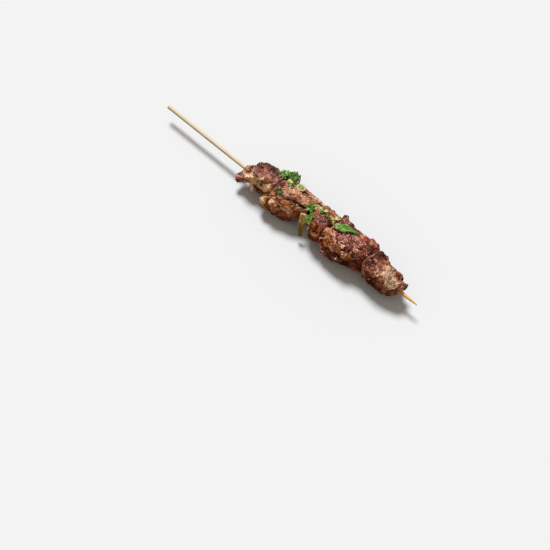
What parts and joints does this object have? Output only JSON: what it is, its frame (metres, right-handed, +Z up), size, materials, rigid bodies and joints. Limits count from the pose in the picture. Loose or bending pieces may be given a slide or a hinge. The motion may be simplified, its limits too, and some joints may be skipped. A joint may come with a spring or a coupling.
{
  "type": "lamb kebab skewer",
  "caption": "Seared lamb chunks and a strip of browned onion threaded on a pointed bamboo stick, lying on its side ready to serve.",
  "frame": {"origin": "on the floor under the middle of the whole's bounding box", "axes": "+X along the stick from its blunt end towards its point, +Z up, and the browned side up, leaning a little towards -Y"},
  "size_m": [0.25, 0.0314, 0.0272],
  "materials": {
    "bamboo": "pale split bamboo, dry satin, with fine lengthwise fibres",
    "lamb": "seared and moist, reddish brown with charred edges, pinkish fibres and glints of fat",
    "fat": "soft cooked fat and sinew, cream to tan, moist",
    "onion": "browned onion, amber to olive with pale edges, moist",
    "herb": "fresh chopped green herb, satin, dark and light green"
  },
  "bodies": {
    "root": {"stick": "bamboo", "lamb_chunk_1": "lamb", "lamb_chunk_2": "lamb", "lamb_chunk_3": "lamb", "lamb_chunk_4": "lamb", "lamb_chunk_5": "lamb", "onion_strip": "onion"}
  },
  "joints": []
}
